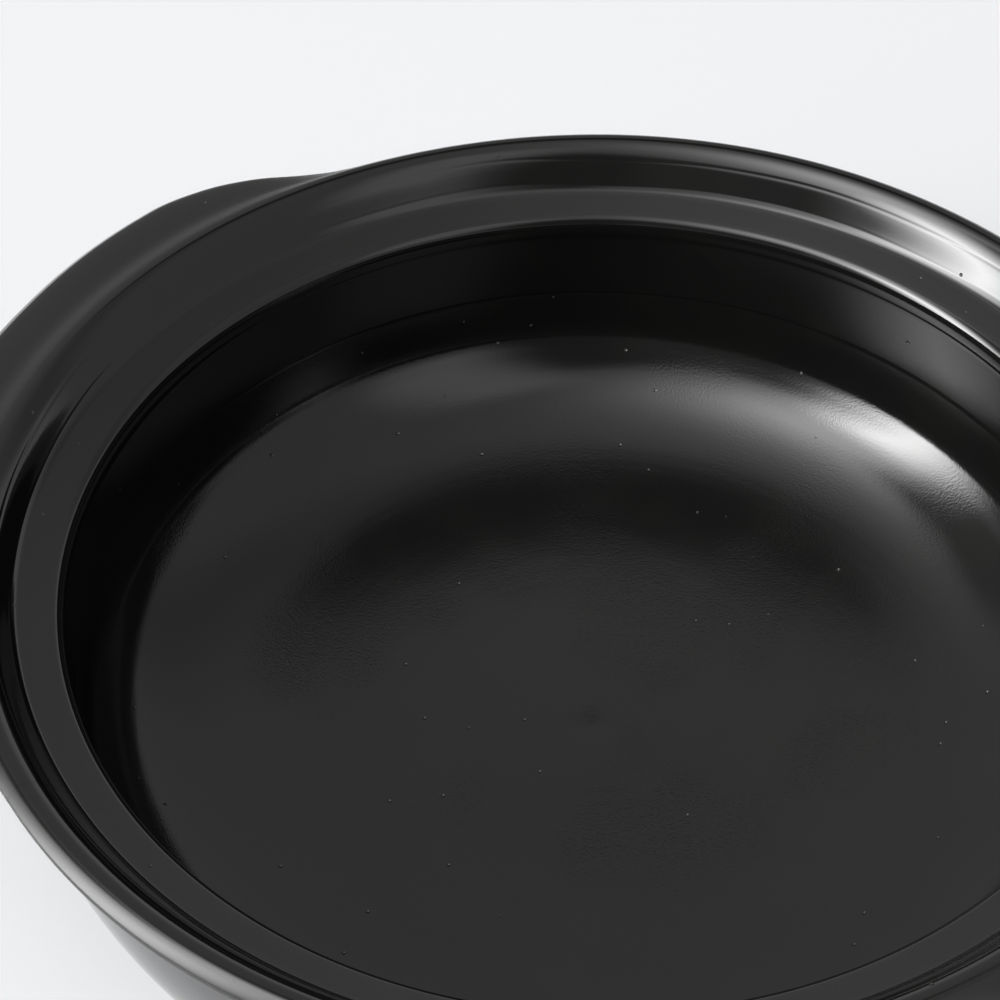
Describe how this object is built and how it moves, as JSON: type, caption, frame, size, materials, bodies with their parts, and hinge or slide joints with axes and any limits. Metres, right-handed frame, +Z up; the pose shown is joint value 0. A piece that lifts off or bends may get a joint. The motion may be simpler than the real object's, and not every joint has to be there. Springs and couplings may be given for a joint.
{
  "type": "donabe clay pot",
  "caption": "Lidless black glazed clay cooking pot with a shallow round bowl, a ledge inside the lip for a lid, two wing-like lugs and a bare foot ring.",
  "frame": {"origin": "middle of the foot ring's flat underside", "axes": "+Z up out of the bowl, +X and -X towards the two lugs, +Y to the back"},
  "size_m": [0.267, 0.2374, 0.0794],
  "materials": {
    "black_glaze": "glossy black glaze, finely grained in the bowl",
    "lug_glaze": "the same glossy black glaze, smooth",
    "bare_clay": "matte unglazed fired clay"
  },
  "bodies": {
    "root": {"pot_body": "black_glaze", "handle_left": "lug_glaze", "handle_right": "lug_glaze", "foot_ring": "bare_clay"}
  },
  "joints": []
}
